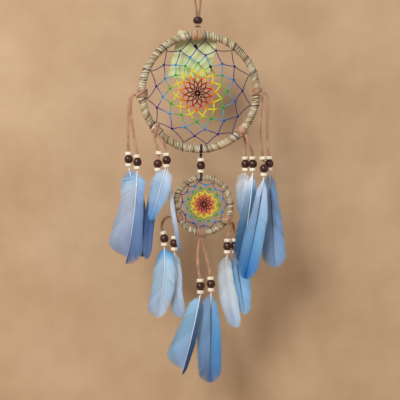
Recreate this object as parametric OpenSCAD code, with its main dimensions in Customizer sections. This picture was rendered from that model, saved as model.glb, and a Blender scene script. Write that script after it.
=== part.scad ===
// Dream catcher: two wrapped hoops with woven webs, hung one below the other, and
// fourteen beaded feather strands on suede laces. +Z is up, +X is to the right and
// -Y faces the room. The origin is where the hanging loop rests on its nail.

/* [Hoops] */
// Outside diameter of the wrapped large hoop
big_hoop_d = 150; // [148:0.5:151]
// Thickness of the wrapped large hoop
big_tube_d = 10.4; // [10:0.1:10.6]
// Outside diameter of the wrapped small hoop
small_hoop_d = 75; // [74:0.5:76]
// Thickness of the wrapped small hoop
small_tube_d = 7.8; // [7.4:0.1:8]
// Share of a hoop's thickness that is its cane core
core_share = 0.6; // [0.4:0.05:0.8]

/* [Web] */
// Diameter of the web's thread
thread_d = 1.0; // [0.8:0.1:1.1]

/* [Beads] */
// Diameter of a round bead
bead_d = 10.5; // [9.5:0.1:10.6]
// Diameter of a pale spacer bead
spacer_d = 8.5; // [7:0.1:8.6]
// Height of a pale spacer bead
spacer_h = 4; // [3.5:0.1:4.2]
// Radius of the hole through a bead
bore_r = 1.8; // [1.6:0.1:1.9]
// Width of the bead on the hanging loop
top_bead_d = 11.7; // [11:0.1:12]
// Height of the bead on the hanging loop
top_bead_h = 9.2; // [8.6:0.1:9.4]

/* [Laces and feathers] */
// Thickness of a lace's solid
lace_d = 2; // [1.6:0.1:2.2]
// Thickness of a feather's blade along its shaft
blade_t = 1.6; // [1.2:0.1:2]

/* [Tag] */
// Width of the paper tag
tag_w = 49; // [40:1:54]
// Length of the paper tag
tag_l = 58; // [50:1:60]
// Thickness of the paper tag
tag_t = 0.5; // [0.3:0.1:0.8]

/* [Hidden] */
$fn = 48;
gap = 0.05;       // between pieces that only touch
slack = 0.3;      // between pieces that move past each other

// The centres of the hoops, and the radii of their centre lines and tubes.
big_at = [2, 0, -164.8];
small_at = [6.6, 0, -302.6];
big_tube = big_tube_d / 2;
small_tube = small_tube_d / 2;
big_ring = big_hoop_d / 2 - big_tube;
small_ring = small_hoop_d / 2 - small_tube;

// Angles round the hoop, counter-clockwise from +X, at which the thread is hitched.
big_hitches = [19, 52, 84, 100, 129, 157, 188, 215, 253, 278, 309, 346];
small_hitches = [2, 35, 66, 102, 128, 155, 190, 224, 256, 289, 318];
// The radius of each round of the web, from the hitches to the eye.
big_rounds = [54.5, 45, 35.5, 28.5, 22, 16.5, 11, 6, 2];
small_rounds = [25, 20.2, 16.8, 13.8, 11, 8.5, 6, 3.8, 1.9];
hitch_lift = 0.7; // of a hitch's centre line over the wrap

// Where the laces are tied round the hoops, in the same angles.
lace_wall = 1.4;
big_knots = [181.5, 222.5, 0.5, -43.5];
big_knot_span = 9;
small_knots = [205, 266, -30];
small_knot_span = 11;
hang_angle = 91.6;
hang_span = 9.4;

// The hanging loop: its neck above the knot, its bead and its lace, up one side of
// the nail and down the other.
neck_top = -82.3;
neck_r = 2.4;
top_bead_bore_r = 3;
top_bead_z = -77.3;
loop_rise = [[-1.15, 0, -82], [-1.15, 0, -74], [-1.15, 0, -64], [-2.6, 0, -50],
             [-10, 0, -30], [-9, 0, -8], [-3.4, 0, -0.9]];
nail_r = 3;

// The link between the hoops.
link_x = 3.9;
link_bead_z = -254.4;

// The tag hangs from the neck, behind the hoop.
tag_at = [-6.2, 7.6, -121.4];
tag_lean = 13.5;
tag_hole = 14.2;  // from the tag's middle up to its hole
tag_hole_r = 1.6;
tag_tie_z = -85.5;

// Strands. Each row holds the name, the lace's route from its knot to its upper
// spacer, the middle of its round bead, and its feathers. A feather is how far right
// of the bead's middle it hangs, the plane it lies in, its length, the directions in
// which its shaft sets out and ends (degrees from straight down, positive to +X), and
// its left and right vanes: four widths along the vane and the share of the shaft at
// which it ends.
STRANDS = [
    ["left_outer",
        [[-75.8, 1.3, -168], [-86, 1.3, -167], [-86, 1, -182], [-84, 1, -205], [-86, 1, -225], [-84.5, 1, -239.7]],
        [-84.3, 1, -246.7], [[0, 1, 112, 14, 4, [12, 14, 14, 12, 1], [9, 10, 11, 11, 1]]]],
    ["left_inner",
        [[-75.8, -1.3, -168], [-84, -1.3, -168], [-84, -1.3, -182], [-80, -1.5, -215], [-75, -1.5, -230], [-73.8, -1.5, -243.2]],
        [-73.6, -1.5, -250.2], [[0, -6.5, 116, -1, -13, [19, 20, 25, 27, 0.92], [11, 10, 13, 17, 1]]]],
    ["lower_left_outer",
        [[-52, -7.6, -216.8], [-54, -8, -224], [-49, -8, -232], [-46.8, -8, -239.5]],
        [-48.4, -8, -252.5], [[0, -12.5, 108, -12, -2, [5, 6, 6, 6, 1], [5, 6, 6.5, 6, 1]]]],
    ["lower_left_inner",
        [[-49.6, -7.6, -217], [-44, -8.5, -222], [-37, -10, -232], [-38, -10, -241.4]],
        [-37.6, -10, -248.4],
        [[-1, -17.5, 66, -14, -18, [10, 14, 11, 6, 1], [10, 13, 11, 6, 1]], [1, -9.8, 105, 6, 11, [2, 2.5, 3, 2.5, 1], [2, 3, 3, 2.5, 1]]]],
    ["right_inner",
        [[77, -6.6, -166], [80, -9, -174], [73, -12, -190], [74, -14, -222], [78.5, -14, -246]],
        [79.8, -14, -258.6], [[0, -16.5, 126, -8, -13, [6, 9, 13, 13, 1], [6, 12, 13, 13, 1]]]],
    ["right_outer",
        [[80, 0, -165], [88, -1, -166], [86, -3, -184], [81, -3, -205], [86, -3, -228], [86.6, -3, -245.2]],
        [87, -3, -252.2], [[0, 0.5, 118, 4, 3, [8, 11, 14, 15, 1], [7, 10, 13, 15, 1]]]],
    ["lower_right_inner",
        [[57.4, 5.8, -217.8], [58.5, 4.5, -226], [57, 3.5, -236], [58.2, 3.5, -245.3]],
        [58.4, 3.5, -252.3], [[0, 6.8, 54, -6, -7, [9, 10.5, 7.5, 4, 1], [6, 6, 5, 3, 1]]]],
    ["lower_right_outer",
        [[58.2, -5.8, -217.6], [61, -4.5, -226], [66.5, -3, -234], [66.9, -3, -245.5]],
        [67, -3, -252.5], [[0, -7.5, 112, -3, -14, [6, 8, 12, 11.5, 1], [5, 7, 7, 6, 1]]]],
    ["small_left_outer",
        [[-30.4, 3.6, -318.2], [-38, 4.5, -314], [-48, 4.5, -323], [-42.5, 4.5, -336.6]],
        [-41, 4.5, -343.6], [[0, 3.2, 89, 3, -14, [9, 14.5, 15, 16, 1], [11, 15, 14, 10, 1]]]],
    ["small_left_inner",
        [[-28.6, 4.8, -321.5], [-30, 6, -328], [-28, 6.5, -335], [-28.7, 6.5, -342.5]],
        [-28.8, 6.5, -349.5], [[0, 11, 83, 5, 4, [6, 8, 9, 10, 1], [6, 7, 5.5, 7.5, 1]]]],
    ["small_bottom_left",
        [[2.9, 0, -343.2], [-1, -0.5, -358], [-1, -1.5, -376], [3, -1.5, -394.4]],
        [3.3, -1.5, -401.4], [[0, -3.2, 101, -10, -16, [11, 17, 21, 26, 0.93], [3, 6, 6.5, 5, 1]]]],
    ["small_bottom_right",
        [[5.6, 0, -343.2], [8, 0.5, -358], [14, 1, -374], [15.8, 1, -391.9]],
        [16.2, 1, -398.9], [[0, 3.4, 112, 0, -1, [14, 17.5, 17.5, 16, 1], [7, 12, 14, 14, 1]]]],
    ["small_right_inner",
        [[41, 2.6, -324.2], [41, 2, -332], [36, 2, -338], [36.4, 2, -345.8]],
        [36.2, 2, -352.8], [[0, 8, 94, -3, 18, [10, 13, 12.5, 10, 1], [6, 8, 11, 8.5, 1]]]],
    ["small_right_outer",
        [[42.6, 5.4, -323.4], [45, 7.5, -330], [46, 7.5, -338], [45.6, 7.5, -345.7]],
        [45.6, 7.5, -352.7], [[0, 11.5, 77, 10, 9, [7, 9, 9, 7, 1], [8, 13.5, 12.5, 9, 1]]]]
];
STRAND_PARTS = ["lace", "beads", "feather"];

// ---- geometry helpers ----

function unit(v) = v / norm(v);
function polar(at, r, a) = at + r * [cos(a), 0, sin(a)];

// A point at share t of the Bezier curve over any number of points.
function bezier(p, t) =
    len(p) == 1 ? p[0] : bezier([for (i = [0:len(p) - 2]) p[i] * (1 - t) + p[i + 1] * t], t);

// Triangles that join rings of n points each, with both ends closed.
function ring_faces(rings, n) = concat(
    [for (i = [0:rings - 2], j = [0:n - 1]) [i * n + j, (i + 1) * n + j, (i + 1) * n + (j + 1) % n]],
    [for (i = [0:rings - 2], j = [0:n - 1]) [i * n + j, (i + 1) * n + (j + 1) % n, i * n + (j + 1) % n]],
    [for (j = [1:n - 2]) [0, j, j + 1]],
    [for (j = [1:n - 2]) [(rings - 1) * n, (rings - 1) * n + j + 1, (rings - 1) * n + j]]
);

// The direction of a line of points at point i.
function along(line, i) = unit(line[min(i + 1, len(line) - 1)] - line[max(i - 1, 0)]);

// A round solid of radius r that follows a line of points.
module tube(line, r) {
    sides = 8;
    rings = [for (i = [0:len(line) - 1]) let (side = unit(cross(along(line, i), [0, 1, 0])),
                                              up = cross(side, along(line, i)))
        [for (j = [0:sides - 1]) line[i] + r * (cos(360 * j / sides) * side + sin(360 * j / sides) * up)]];
    polyhedron([for (ring = rings, p = ring) p], ring_faces(len(rings), sides));
}

// A ring in the XZ plane with a round section between two radii, or a part of it.
module hoop_shell(at, ring_r, inner, outer, middle = 0, span = 360) {
    translate(at)
        rotate([90, 0, 0])
            rotate([0, 0, middle - span / 2])
                rotate_extrude(angle = span)
                    translate([ring_r, 0])
                        difference() {
                            circle(r = outer);
                            if (inner > 0) circle(r = inner);
                        }
}

// A bead or spacer stands on its own Z axis, at the origin.
module bored(bore) {
    difference() {
        children();
        cylinder(r = bore, h = 30, center = true);
    }
}

module round_bead() {
    color("saddlebrown") bored(bore_r) sphere(d = bead_d);
}

module spacer_bead() {
    edge = 0.7;
    r = spacer_d / 2;
    h = spacer_h / 2;
    color("wheat")
        bored(bore_r)
            rotate_extrude()
                polygon([[0, -h], [r - edge, -h], [r, edge - h], [r, h - edge], [r - edge, h], [0, h]]);
}

// Half the height at which a spacer's hole meets the round bead below it.
function bead_seat() = sqrt(pow(bead_d / 2, 2) - pow(bore_r, 2)) + gap;

// ---- hoops and webs ----

module hoop_core(at, ring_r, tube_r) {
    color("burlywood") hoop_shell(at, ring_r, 0, core_share * tube_r - gap);
}

module hoop_wrap(at, ring_r, tube_r) {
    color("tan") hoop_shell(at, ring_r, core_share * tube_r, tube_r);
}

module lace_knots(at, ring_r, tube_r, angles, span) {
    color("rosybrown")
        for (a = angles)
            hoop_shell(at, ring_r, tube_r + gap, tube_r + lace_wall, a, span);
}

// Angles halfway between neighbours, all the way round.
function between(a) = [for (i = [0:len(a) - 1])
    (a[i] + (i < len(a) - 1 ? a[i + 1] : a[0] + 360)) / 2];
function angles_of(hitches, round) = round == 0 ? hitches : between(angles_of(hitches, round - 1));

module thread(a, b, d = thread_d) {
    hull() {
        translate(a) sphere(d = d, $fn = 4);
        translate(b) sphere(d = d, $fn = 4);
    }
}

// Each round hangs from the middles of the round outside it.
module web(at, ring_r, tube_r, hitches, rounds) {
    radii = concat([ring_r - tube_r - hitch_lift], rounds);
    count = len(hitches);
    for (k = [1:len(rounds)]) {
        outer = angles_of(hitches, k - 1);
        inner = angles_of(hitches, k);
        for (i = [0:count - 1]) {
            thread(polar(at, radii[k - 1], outer[i]), polar(at, radii[k], inner[i]));
            thread(polar(at, radii[k], inner[i]), polar(at, radii[k - 1], outer[(i + 1) % count]));
        }
    }
}

// The loops of the same thread by which the web holds on to the hoop.
module web_hitches(at, ring_r, tube_r, hitches) {
    color("indigo")
        for (a = hitches)
            translate(polar(at, ring_r, a))
                rotate([0, -a, 0])
                    rotate_extrude()
                        translate([tube_r + hitch_lift, 0])
                            circle(d = thread_d);
}

// ---- hanging loop, link and tag ----

module hanging_loop() {
    rise = [for (i = [0:14]) bezier(loop_rise, i / 14)];
    over = [for (a = [150:-20:30]) (nail_r + lace_d / 2) * [cos(a), 0, sin(a)] - [0, 0, nail_r]];
    fall = [for (i = [len(rise) - 1:-1:0]) [-rise[i][0], 0, rise[i][2]]];
    color("rosybrown") tube(concat(rise, over, fall), lace_d / 2);
}

module hanging_bead() {
    color("saddlebrown")
        translate([0, 0, top_bead_z])
            bored(top_bead_bore_r)
                intersection() {
                    sphere(d = top_bead_d);
                    cube([2 * top_bead_d, 2 * top_bead_d, top_bead_h], center = true);
                }
}

module hanging_knot() {
    top_of_wrap = big_at[2] + big_ring + big_tube;
    color("rosybrown")
        union() {
            hoop_shell(big_at, big_ring, big_tube + gap, big_tube + lace_wall + 0.4, hang_angle, hang_span);
            translate([0, 0, top_of_wrap + lace_wall / 2])
                cylinder(r = neck_r, h = neck_top - top_of_wrap - lace_wall / 2);
        }
}

// A loop of thread round a tube that runs along X.
module thread_loop(at, tube_r) {
    translate(at)
        rotate([0, 90, 0])
            rotate_extrude()
                translate([tube_r + slack + thread_d / 2, 0])
                    circle(d = thread_d);
}

module link_thread() {
    top = big_at[2] - big_ring;
    bottom = small_at[2] + small_ring;
    upper = top - big_tube - slack - thread_d / 2;
    lower = bottom + small_tube + slack + thread_d / 2;
    color("indigo")
        union() {
            thread_loop([link_x, 0, top], big_tube);
            thread_loop([link_x, 0, bottom], small_tube);
            translate([link_x, 0, lower])
                cylinder(r = 0.9, h = upper - lower);
        }
}

module link_bead() {
    translate([link_x, 0, link_bead_z]) round_bead();
}

module link_spacers() {
    for (side = [-1, 1])
        translate([link_x, 0, link_bead_z + side * (bead_seat() + spacer_h / 2)])
            spacer_bead();
}

module paper_tag() {
    color("khaki")
        translate(tag_at)
            rotate([0, tag_lean, 0])
                difference() {
                    cube([tag_w, tag_t, tag_l], center = true);
                    translate([0, 0, tag_hole])
                        rotate([90, 0, 0])
                            cylinder(r = tag_hole_r, h = 10, center = true);
                }
}

// A knot on the tag's face, a cord through its hole and up its back, and a loop
// round the neck of the hanging lace.
module tag_string() {
    string_d = 1;
    hole = tag_at + tag_hole * [sin(tag_lean), 0, cos(tag_lean)];
    face = tag_at[1] - tag_t / 2;
    back = tag_at[1] + (tag_t + string_d) / 2 + gap;
    loop_r = neck_r + slack + string_d / 2;
    bend = [0, back, tag_tie_z - 5];
    color("black") {
        hull()
            translate([hole[0], face - gap - 0.4, hole[2]])
                rotate([90, 0, 0])
                    cylinder(r = 2.6, h = 0.8, center = true, $fn = 16);
        thread([hole[0], face - 0.4, hole[2]], [hole[0], back, hole[2]], string_d);
        thread([hole[0], back, hole[2]], bend, string_d);
        thread(bend, [0, loop_r, tag_tie_z], string_d);
        for (a = [0:30:330])
            thread(polar_flat(loop_r, a), polar_flat(loop_r, a + 30), string_d);
    }
}
function polar_flat(r, a) = [r * cos(a), r * sin(a), tag_tie_z];

// ---- strands ----

function strand(name) = [for (s = STRANDS) if (s[0] == name) s][0];

// From the knot along the route, then straight down to the foot of the round bead.
function lace_line(s) = concat(
    [for (i = [0:9]) bezier(s[1], i / 9)],
    [s[2] + [0, 0, bead_seat()], s[2] - [0, 0, bead_seat() - 2 * gap]]
);

module strand_lace(s) {
    color("rosybrown") tube(lace_line(s), lace_d / 2);
}

module strand_beads(s) {
    lowest = s[1][len(s[1]) - 1];
    lean = atan2(lowest[0] - s[2][0], lowest[2] - s[2][2]);
    translate(s[2]) round_bead();
    translate(s[2] - [0, 0, bead_seat() + spacer_h / 2]) spacer_bead();
    translate(lowest) rotate([0, lean, 0]) spacer_bead();
}

// How wide a vane is at share u: nothing at the quill, its four widths, a round tip.
vane_places = [0.1, 0.35, 0.6, 0.85];
function vane(u, w) = let (s = u / w[4], places = concat([[0, 0]], [for (i = [0:3]) [vane_places[i], w[i]]]))
    s <= 0 || s >= 1 ? 0 : lookup(s, places) * sqrt(1 - pow(max(0, s - 0.85) / 0.15, 2));
function ease(t) = t <= 0 ? 0 : t >= 1 ? 1 : t * t * (3 - 2 * t);

module feather(s, f) {
    plane = f[1];
    length = f[2];
    quill_r = 0.9;
    bare = 0.06;   // share of the shaft below the spacer that has no vane
    cup = 1.0;     // how far the vanes' edges stand behind the shaft
    top = s[2] + [f[0], 0, -bead_seat() - spacer_h - gap];
    start = [sin(f[3]), 0, -cos(f[3])] * length / 2;
    end = [sin(f[4]), 0, -cos(f[4])] * length / 2;
    shares = [0, 0.04, 0.08, 0.12, 0.16, 0.23, 0.32, 0.42, 0.52, 0.62, 0.72, 0.8, 0.86, 0.92, 0.96, 0.985, 1];
    route = [for (t = shares) bezier([top, top + start, top + start + end], t)
        + [0, (plane - top[1]) * ease(t / 0.2), 0]];
    line = len(s[3]) > 1 ? route : concat([top + [0, 0, spacer_h]], route);
    sizes = len(s[3]) > 1 ? shares : concat([0], shares);
    rings = [for (i = [0:len(line) - 1])
        let (way = along(line, i),
             side = unit([-way[2], 0, way[0]]),
             u = (sizes[i] - bare) / (1 - bare),
             left = max(quill_r * (1 - 0.6 * sizes[i]), vane(u, f[5])),
             right = max(quill_r * (1 - 0.6 * sizes[i]), vane(u, f[6])),
             t = (quill_r * (1 - sizes[i]) + blade_t / 2 * sizes[i]) * (1 - 0.5 * sizes[i]),
             back = cup * ease(u * 4))
        [line[i] - left * side + [0, back, 0], line[i] - [0, t, 0],
         line[i] + right * side + [0, back, 0], line[i] + [0, t, 0]]];
    color("lightsteelblue")
        polyhedron([for (ring = rings, p = ring) p], ring_faces(len(rings), 4));
}

// ---- the nodes ----

hanging_loop();
hanging_bead();
hanging_knot();
hoop_core(big_at, big_ring, big_tube);  // big_hoop_core
hoop_wrap(big_at, big_ring, big_tube);  // big_hoop_wrap
color("darkslateblue") web(big_at, big_ring, big_tube, big_hitches, big_rounds);  // big_web
web_hitches(big_at, big_ring, big_tube, big_hitches);  // big_web_hitches
lace_knots(big_at, big_ring, big_tube, big_knots, big_knot_span);  // big_lace_knots
paper_tag();
tag_string();
link_thread();
link_bead();
link_spacers();
hoop_core(small_at, small_ring, small_tube);  // small_hoop_core
hoop_wrap(small_at, small_ring, small_tube);  // small_hoop_wrap
color("darkslateblue") web(small_at, small_ring, small_tube, small_hitches, small_rounds);  // small_web
web_hitches(small_at, small_ring, small_tube, small_hitches);  // small_web_hitches
lace_knots(small_at, small_ring, small_tube, small_knots, small_knot_span);  // small_lace_knots
for (s = STRANDS) {
    strand_lace(s);
    strand_beads(s);
    for (f = s[3]) feather(s, f);
}
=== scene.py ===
"""A dream catcher: two wrapped hoops with dyed webs and fourteen strands of suede lace,
wooden beads and feathers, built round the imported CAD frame. Lengths below are in
millimetres in the frame's own axes: +Z up, +X right, -Y towards the room."""
import math
import random

import bpy
import numpy as np
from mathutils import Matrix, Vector


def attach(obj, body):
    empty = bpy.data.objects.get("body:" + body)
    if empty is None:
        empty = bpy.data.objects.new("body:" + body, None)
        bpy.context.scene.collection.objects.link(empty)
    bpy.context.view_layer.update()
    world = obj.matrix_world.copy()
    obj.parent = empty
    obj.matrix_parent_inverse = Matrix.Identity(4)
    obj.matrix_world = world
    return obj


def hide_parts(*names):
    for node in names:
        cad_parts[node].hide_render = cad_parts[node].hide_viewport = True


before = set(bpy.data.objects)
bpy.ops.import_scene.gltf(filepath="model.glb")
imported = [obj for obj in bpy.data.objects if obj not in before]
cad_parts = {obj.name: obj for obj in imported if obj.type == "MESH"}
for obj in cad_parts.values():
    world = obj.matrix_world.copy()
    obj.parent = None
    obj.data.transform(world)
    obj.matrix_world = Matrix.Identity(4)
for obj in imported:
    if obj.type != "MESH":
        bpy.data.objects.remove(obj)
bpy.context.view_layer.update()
MM = 0.001

# ---- the object's own dimensions, as in the CAD source ----

BIG_AT = np.array([2, 0, -164.8])
BIG_RING, BIG_TUBE = 69.8, 5.2
SMALL_AT = np.array([6.6, 0, -302.6])
SMALL_RING, SMALL_TUBE = 33.6, 3.9
BIG_HITCHES = [19, 52, 84, 100, 129, 157, 188, 215, 253, 278, 309, 346]
SMALL_HITCHES = [2, 35, 66, 102, 128, 155, 190, 224, 256, 289, 318]
BIG_ROUNDS = [54.5, 45, 35.5, 28.5, 22, 16.5, 11, 6, 2]
SMALL_ROUNDS = [25, 20.2, 16.8, 13.8, 11, 8.5, 6, 3.8, 1.9]
BIG_KNOTS = [181.5, 222.5, 0.5, -43.5]
SMALL_KNOTS = [205, 266, -30]
HANG_ANGLE = 91.6
BEAD_R, SPACER_R, SPACER_H, BORE_R = 5.25, 4.25, 4.0, 1.8
BEAD_SEAT = math.sqrt(BEAD_R ** 2 - BORE_R ** 2) + 0.05
NECK_TOP, TOP_BEAD_Z = -82.3, -77.3
LOOP_RISE = [(-1.15, 0, -82), (-1.15, 0, -74), (-1.15, 0, -64), (-2.6, 0, -50),
             (-10, 0, -30), (-9, 0, -8), (-3.4, 0, -0.9)]
NAIL_R, LACE_T = 3.0, 1.2
LINK_X, LINK_BEAD_Z = 3.9, -254.4
TAG_AT, TAG_LEAN, TAG_W, TAG_L = np.array([-6.2, 7.6, -121.4]), 13.5, 49.0, 58.0
TAG_HOLE, TAG_TIE_Z = 14.2, -85.5



def srgb(r, g, b):
    """A colour named by its usual 0-255 values, in the linear values that shaders take."""
    return np.array([c / 3294.6 if c <= 10 else ((c / 255 + 0.055) / 1.055) ** 2.4 for c in (r, g, b)])


# How a feather is coloured: its colours in the down, above the middle, at the middle and
# at the tip, the same for its right vane where that differs, and its shaft's colour. The
# darker right vanes of periwinkle and storm are painted shade.
IVORY, INK = srgb(236, 240, 246), srgb(58, 60, 84)
LOOKS = {
    "shade": ((156, 190, 222), (152, 178, 210), (130, 152, 192), (94, 112, 158), None, IVORY),
    # periwinkle's right vane colours are painted shade: its left vane's blue, darkened as the shaded side.
    "periwinkle": ((168, 206, 240), (214, 228, 246), (192, 210, 238), (134, 154, 198),
                   ((164, 200, 236), (152, 186, 228), (124, 158, 208), (90, 114, 164)), IVORY),
    "midnight": ((200, 204, 212), (62, 86, 128), (74, 114, 174), (120, 144, 196), None, INK),
    "sky": ((200, 210, 224), (186, 216, 244), (170, 208, 244), (84, 170, 236), None, IVORY),
    "edge": ((206, 210, 220), (222, 232, 246), (212, 226, 246), (112, 142, 184), None, IVORY),
    "vivid": ((204, 220, 242), (182, 214, 246), (132, 190, 236), (0, 126, 216), None, INK),
    "steel": ((156, 188, 226), (134, 172, 214), (136, 174, 216), (150, 186, 224), None, INK),
    "snow": ((252, 253, 255), (242, 248, 255), (200, 224, 248), (118, 164, 210), None, IVORY),
    # storm's right vane colours are painted shadow: dark where the right_inner feather overlaps it.
    "storm": ((236, 240, 246), (174, 206, 236), (92, 144, 188), (62, 106, 152),
              ((190, 206, 226), (88, 130, 160), (42, 74, 94), (36, 64, 98)), IVORY),
    "cyan": ((70, 182, 248), (192, 230, 254), (196, 226, 250), (208, 222, 246), None, IVORY),
    "pale": ((210, 230, 248), (210, 232, 252), (202, 224, 250), (184, 210, 242), None, IVORY),
    "split": ((170, 210, 242), (166, 218, 252), (170, 214, 250), (170, 196, 236),
              ((106, 162, 210), (72, 120, 168), (56, 92, 138), (52, 78, 122)), IVORY),
    "dusk": ((156, 200, 238), (150, 194, 234), (138, 180, 224), (96, 128, 178),
             ((158, 210, 248), (124, 186, 238), (100, 168, 226), (86, 130, 186)), INK),
    "frost": ((230, 242, 254), (234, 246, 255), (226, 242, 255), (190, 220, 252), None, IVORY),
    "azure": ((150, 206, 248), (146, 206, 250), (152, 208, 250), (166, 212, 250), None, INK),
}

# Each strand: its lace's route, the middle of its round bead, and its feathers. A
# feather is how far right of the bead's middle it hangs, the plane it lies in, its
# length, the directions in which its shaft sets out and ends (degrees from straight
# down, positive to +X), its left and right vanes (four widths along the vane and the
# share of the shaft at which it ends), and its look in LOOKS, which gives its colours.
STRANDS = {
    "left_outer": (
        [(-75.8, 1.3, -168), (-86, 1.3, -167), (-86, 1, -182), (-84, 1, -205), (-86, 1, -225),
         (-84.5, 1, -239.7)], (-84.3, 1, -246.7),
        [(0, 1, 112, 14, 4, (12, 14, 14, 12, 1), (9, 10, 11, 11, 1), "shade")]),
    "left_inner": (
        [(-75.8, -1.3, -168), (-84, -1.3, -168), (-84, -1.3, -182), (-80, -1.5, -215),
         (-75, -1.5, -230), (-73.8, -1.5, -243.2)], (-73.6, -1.5, -250.2),
        [(0, -6.5, 116, -1, -13, (19, 20, 25, 27, 0.92), (11, 10, 13, 17, 1), "periwinkle")]),
    "lower_left_outer": (
        [(-52, -7.6, -216.8), (-54, -8, -224), (-49, -8, -232), (-46.8, -8, -239.5)],
        (-48.4, -8, -252.5),
        [(0, -12.5, 108, -12, -2, (5, 6, 6, 6, 1), (5, 6, 6.5, 6, 1), "midnight")]),
    "lower_left_inner": (
        [(-49.6, -7.6, -217), (-44, -8.5, -222), (-37, -10, -232), (-38, -10, -241.4)],
        (-37.6, -10, -248.4),
        [(-1, -17.5, 66, -14, -18, (10, 14, 11, 6, 1), (10, 13, 11, 6, 1), "sky"),
         (1, -9.8, 105, 6, 11, (2, 2.5, 3, 2.5, 1), (2, 3, 3, 2.5, 1), "edge")]),
    "right_inner": (
        [(77, -6.6, -166), (80, -9, -174), (73, -12, -190), (74, -14, -222), (78.5, -14, -246)],
        (79.8, -14, -258.6),
        [(0, -16.5, 126, -8, -13, (6, 9, 13, 13, 1), (6, 12, 13, 13, 1), "vivid")]),
    "right_outer": (
        [(80, 0, -165), (88, -1, -166), (86, -3, -184), (81, -3, -205), (86, -3, -228),
         (86.6, -3, -245.2)], (87, -3, -252.2),
        [(0, 0.5, 118, 4, 3, (8, 11, 14, 15, 1), (7, 10, 13, 15, 1), "steel")]),
    "lower_right_inner": (
        [(57.4, 5.8, -217.8), (58.5, 4.5, -226), (57, 3.5, -236), (58.2, 3.5, -245.3)],
        (58.4, 3.5, -252.3),
        [(0, 6.8, 54, -6, -7, (9, 10.5, 7.5, 4, 1), (6, 6, 5, 3, 1), "snow")]),
    "lower_right_outer": (
        [(58.2, -5.8, -217.6), (61, -4.5, -226), (66.5, -3, -234), (66.9, -3, -245.5)],
        (67, -3, -252.5),
        [(0, -7.5, 112, -3, -14, (6, 8, 12, 11.5, 1), (5, 7, 7, 6, 1), "storm")]),
    "small_left_outer": (
        [(-30.4, 3.6, -318.2), (-38, 4.5, -314), (-48, 4.5, -323), (-42.5, 4.5, -336.6)],
        (-41, 4.5, -343.6),
        [(0, 3.2, 89, 3, -14, (9, 14.5, 15, 16, 1), (11, 15, 14, 10, 1), "cyan")]),
    "small_left_inner": (
        [(-28.6, 4.8, -321.5), (-30, 6, -328), (-28, 6.5, -335), (-28.7, 6.5, -342.5)],
        (-28.8, 6.5, -349.5),
        [(0, 11, 83, 5, 4, (6, 8, 9, 10, 1), (6, 7, 5.5, 7.5, 1), "pale")]),
    "small_bottom_left": (
        [(2.9, 0, -343.2), (-1, -0.5, -358), (-1, -1.5, -376), (3, -1.5, -394.4)],
        (3.3, -1.5, -401.4),
        [(0, -3.2, 101, -10, -16, (11, 17, 21, 26, 0.93), (3, 6, 6.5, 5, 1), "split")]),
    "small_bottom_right": (
        [(5.6, 0, -343.2), (8, 0.5, -358), (14, 1, -374), (15.8, 1, -391.9)],
        (16.2, 1, -398.9),
        [(0, 3.4, 112, 0, -1, (14, 17.5, 17.5, 16, 1), (7, 12, 14, 14, 1), "dusk")]),
    "small_right_inner": (
        [(41, 2.6, -324.2), (41, 2, -332), (36, 2, -338), (36.4, 2, -345.8)], (36.2, 2, -352.8),
        [(0, 8, 94, -3, 18, (10, 13, 12.5, 10, 1), (6, 8, 11, 8.5, 1), "frost")]),
    "small_right_outer": (
        [(42.6, 5.4, -323.4), (45, 7.5, -330), (46, 7.5, -338), (45.6, 7.5, -345.7)],
        (45.6, 7.5, -352.7),
        [(0, 11.5, 77, 10, 9, (7, 9, 9, 7, 1), (8, 13.5, 12.5, 9, 1), "azure")]),
}
VANE_PLACES = (0, 0.1, 0.35, 0.6, 0.85)
BARE = 0.03        # the share of a shaft below its spacer that has no vane
CUP = 1.0          # how far a vane's edge stands behind the shaft
BARB_GAP = 0.6     # from one barb to the next along the shaft

# ---- the camera, which comes before the cords ----

VIEW_MM = 488.0    # the width of what the camera sees at the hoops
LENS, SENSOR = 85.0, 36.0
camera = bpy.data.objects.new("camera", bpy.data.cameras.new("camera"))
camera.data.lens = LENS
camera.data.sensor_width = SENSOR
camera.location = (2.7 * MM, -VIEW_MM * MM * LENS / SENSOR, -296.4 * MM)
camera.rotation_euler = (math.radians(90), 0, 0)
bpy.context.scene.collection.objects.link(camera)
bpy.context.scene.camera = camera

# ---- materials ----


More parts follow.
